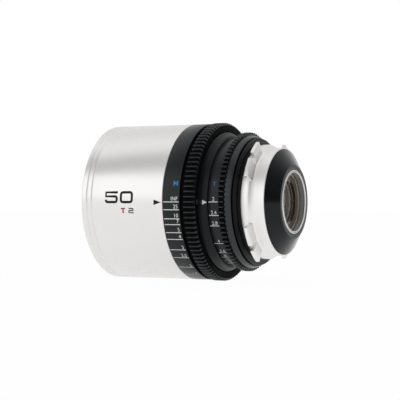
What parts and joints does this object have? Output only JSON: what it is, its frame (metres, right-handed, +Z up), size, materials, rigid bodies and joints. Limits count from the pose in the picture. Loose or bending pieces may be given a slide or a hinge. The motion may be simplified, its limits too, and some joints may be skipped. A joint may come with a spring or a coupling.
{
  "type": "cinema prime lens",
  "caption": "Cinema prime lens with geared focus and iris rings, coupled iris blades, sliding focus group, filter thread and a four-eared bayonet mount.",
  "frame": {"origin": "centre of the flange seat, in the plane of the bayonet ears' rear faces, on the optical axis", "axes": "+X along the optical axis toward the camera; +Z up as the lens is used on a level camera; the index line and scales face -Y"},
  "size_m": [0.1003, 0.0808, 0.0808],
  "materials": {
    "housing_white": "satin",
    "ring_black": "satin black anodised",
    "inner_black": "matt black anodised",
    "mount_silver": "satin chrome",
    "steel": "bright",
    "blade_steel": "blackened",
    "pin_brass": "turned",
    "coated_glass": "coated"
  },
  "bodies": {
    "body": {"front_housing": "housing_white", "front_trim_ring": "inner_black", "front_cell": "inner_black", "front_glass": "coated_glass", "front_spacer": "inner_black", "second_glass": "coated_glass", "core_barrel": "inner_black", "index_ring": "ring_black", "iris_base_plate": "inner_black", "iris_cover_ring": "inner_black", "rear_barrel": "ring_black", "mount_shim": "steel", "lens_mount": "mount_silver", "mount_screws": "steel", "rear_cell": "inner_black", "rear_glass": "coated_glass", "rear_spacer": "inner_black", "rear_inner_glass": "coated_glass", "rear_lock_ring": "inner_black", "rear_cone": "ring_black", "rear_retaining_ring": "mount_silver"},
    "focus_ring_body": {"focus_ring": "ring_black", "focus_gear": "ring_black"},
    "focus_carrier_body": {"focus_carrier": "inner_black", "cam_followers": "pin_brass", "carrier_front_glass": "coated_glass", "carrier_retainer": "inner_black", "carrier_rear_glass": "coated_glass", "carrier_spacer": "inner_black"},
    "iris_ring_body": {"iris_ring": "ring_black", "iris_gear": "ring_black", "iris_drive_pin": "steel", "iris_rotor": "inner_black"},
    "blade_1": {"iris_blade_1": "blade_steel"},
    "blade_2": {"iris_blade_2": "blade_steel"},
    "blade_3": {"iris_blade_3": "blade_steel"},
    "blade_4": {"iris_blade_4": "blade_steel"},
    "blade_5": {"iris_blade_5": "blade_steel"},
    "blade_6": {"iris_blade_6": "blade_steel"},
    "blade_7": {"iris_blade_7": "blade_steel"},
    "blade_8": {"iris_blade_8": "blade_steel"}
  },
  "joints": [
    {"name": "focus_turn", "type": "hinge", "parent": "body", "child": "focus_ring_body", "pos_m": [0, 0, 0], "axis": [-1, 0, 0], "range_deg": [0, 130]},
    {"name": "focus_slide", "type": "slide", "parent": "body", "child": "focus_carrier_body", "axis": [-1, 0, 0], "range_m": [0, 0.004]},
    {"name": "iris_turn", "type": "hinge", "parent": "body", "child": "iris_ring_body", "pos_m": [0, 0, 0], "axis": [-1, 0, 0], "range_deg": [0, 78]},
    {"name": "blade_1_swing", "type": "hinge", "parent": "body", "child": "blade_1", "pos_m": [-0.018, 0.022, 0], "axis": [-1, 0, 0], "range_deg": [0, 30]},
    {"name": "blade_2_swing", "type": "hinge", "parent": "body", "child": "blade_2", "pos_m": [-0.018, 0.01556, 0.01556], "axis": [-1, 0, 0], "range_deg": [0, 30]},
    {"name": "blade_3_swing", "type": "hinge", "parent": "body", "child": "blade_3", "pos_m": [-0.018, 0, 0.022], "axis": [-1, 0, 0], "range_deg": [0, 30]},
    {"name": "blade_4_swing", "type": "hinge", "parent": "body", "child": "blade_4", "pos_m": [-0.018, -0.01556, 0.01556], "axis": [-1, 0, 0], "range_deg": [0, 30]},
    {"name": "blade_5_swing", "type": "hinge", "parent": "body", "child": "blade_5", "pos_m": [-0.018, -0.022, 0], "axis": [-1, 0, 0], "range_deg": [0, 30]},
    {"name": "blade_6_swing", "type": "hinge", "parent": "body", "child": "blade_6", "pos_m": [-0.018, -0.01556, -0.01556], "axis": [-1, 0, 0], "range_deg": [0, 30]},
    {"name": "blade_7_swing", "type": "hinge", "parent": "body", "child": "blade_7", "pos_m": [-0.018, 0, -0.022], "axis": [-1, 0, 0], "range_deg": [0, 30]},
    {"name": "blade_8_swing", "type": "hinge", "parent": "body", "child": "blade_8", "pos_m": [-0.018, 0.01556, -0.01556], "axis": [-1, 0, 0], "range_deg": [0, 30]}
  ],
  "couplings": [
    {"joint": "focus_slide", "follows": "focus_turn", "m_per_rad": 0.0017628},
    {"joint": "blade_1_swing", "follows": "iris_turn", "ratio": 0.3846},
    {"joint": "blade_2_swing", "follows": "iris_turn", "ratio": 0.3846},
    {"joint": "blade_3_swing", "follows": "iris_turn", "ratio": 0.3846},
    {"joint": "blade_4_swing", "follows": "iris_turn", "ratio": 0.3846},
    {"joint": "blade_5_swing", "follows": "iris_turn", "ratio": 0.3846},
    {"joint": "blade_6_swing", "follows": "iris_turn", "ratio": 0.3846},
    {"joint": "blade_7_swing", "follows": "iris_turn", "ratio": 0.3846},
    {"joint": "blade_8_swing", "follows": "iris_turn", "ratio": 0.3846}
  ]
}
